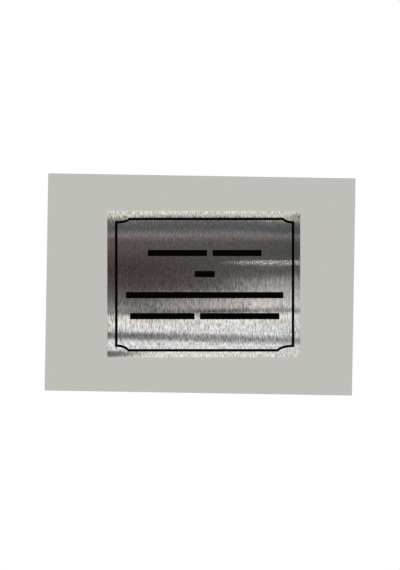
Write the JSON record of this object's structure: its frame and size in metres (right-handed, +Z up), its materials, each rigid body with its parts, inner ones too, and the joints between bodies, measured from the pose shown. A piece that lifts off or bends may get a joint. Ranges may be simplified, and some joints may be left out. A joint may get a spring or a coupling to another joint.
{
  "type": "no hawkers sign",
  "caption": "Flat brushed steel notice plate with a printed line border, scooped at its corners, printed rows of plain bars, and foam tape strips that stick it to a door or a wall.",
  "frame": {"origin": "on the wall, at the middle of the plate: the middle of the wall face of the middle tape strip", "axes": "+X to the right along the plate's width as a reader sees it, +Y from the plate into the wall, +Z up the plate's height"},
  "size_m": [0.2, 0.0021, 0.152],
  "materials": {
    "brushed_sheet": "stainless sheet with an upright brushed grain on its face",
    "black_ink": "satin black printed ink",
    "foam_tape": "grey closed-cell foam with a tacky face"
  },
  "bodies": {
    "root": {"plate": "brushed_sheet", "printed_border": "black_ink", "notice_row_1": "black_ink", "notice_row_2": "black_ink", "notice_row_3": "black_ink", "notice_row_4": "black_ink", "foam_tape_top": "foam_tape", "foam_tape_middle": "foam_tape", "foam_tape_bottom": "foam_tape"}
  },
  "joints": []
}
